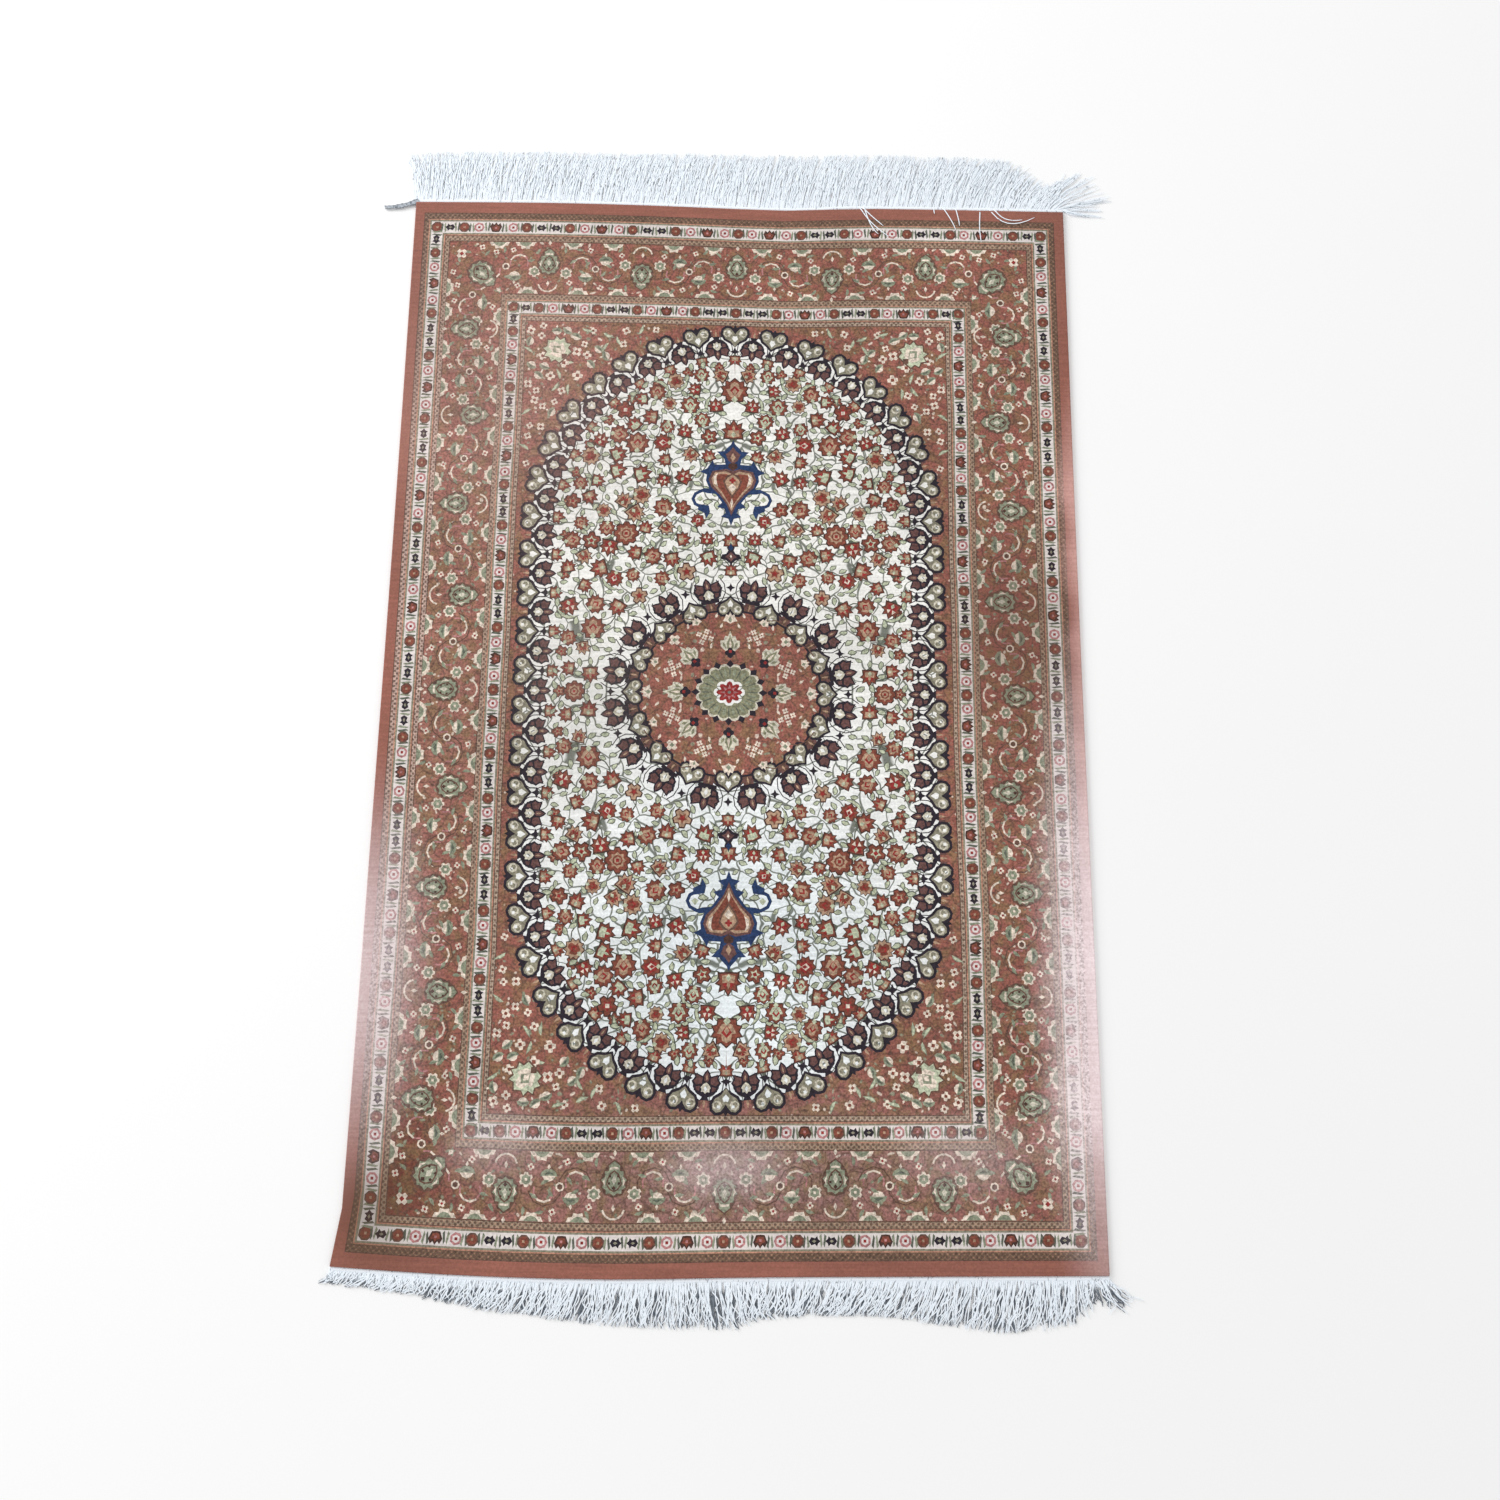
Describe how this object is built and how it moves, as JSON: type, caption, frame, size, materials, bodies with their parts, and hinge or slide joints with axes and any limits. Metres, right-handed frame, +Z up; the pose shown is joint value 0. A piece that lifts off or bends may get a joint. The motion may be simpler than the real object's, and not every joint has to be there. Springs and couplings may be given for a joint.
{
  "type": "persian rug",
  "caption": "Flat hand-knotted oblong rug with a rounded rim and a white fringe of loose warp ends on a narrow web at each end, to lie on a floor.",
  "frame": {"origin": "middle of the woven rug, on its underside", "axes": "+Y along the rug's length towards the end with the longer fringe, +X across its width, +Z up out of the pile"},
  "size_m": [1.1215, 1.7092, 0.005],
  "materials": {
    "pile": "clipped silk pile in terracotta, ivory, green and dark brown",
    "warp": "loose undyed warp ends"
  },
  "bodies": {
    "root": {"rug": "pile", "fringe_top": "warp", "fringe_bottom": "warp"}
  },
  "joints": []
}
